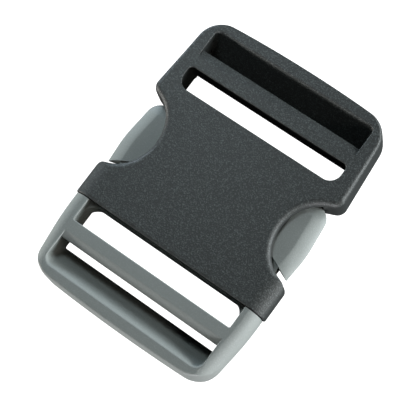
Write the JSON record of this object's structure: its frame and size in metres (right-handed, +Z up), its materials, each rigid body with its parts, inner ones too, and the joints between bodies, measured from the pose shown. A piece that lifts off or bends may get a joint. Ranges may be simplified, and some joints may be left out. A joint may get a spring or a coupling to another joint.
{
  "type": "side release buckle",
  "caption": "Fastened side release buckle for 50 mm webbing: a hollow socket with finger scallops and a plug with sprung arms, each with a slotted webbing frame.",
  "frame": {"origin": "middle of the footprint, on the underside of the socket", "axes": "+X across the width, +Y along the length towards the socket's end, +Z up out of the upper face"},
  "size_m": [0.063, 0.0864, 0.0095],
  "materials": {
    "charcoal_plastic": "fine spark-eroded grain, satin sheen",
    "grey_plastic": "fine satin"
  },
  "bodies": {
    "root": {"socket": "charcoal_plastic", "plug": "grey_plastic"}
  },
  "joints": []
}
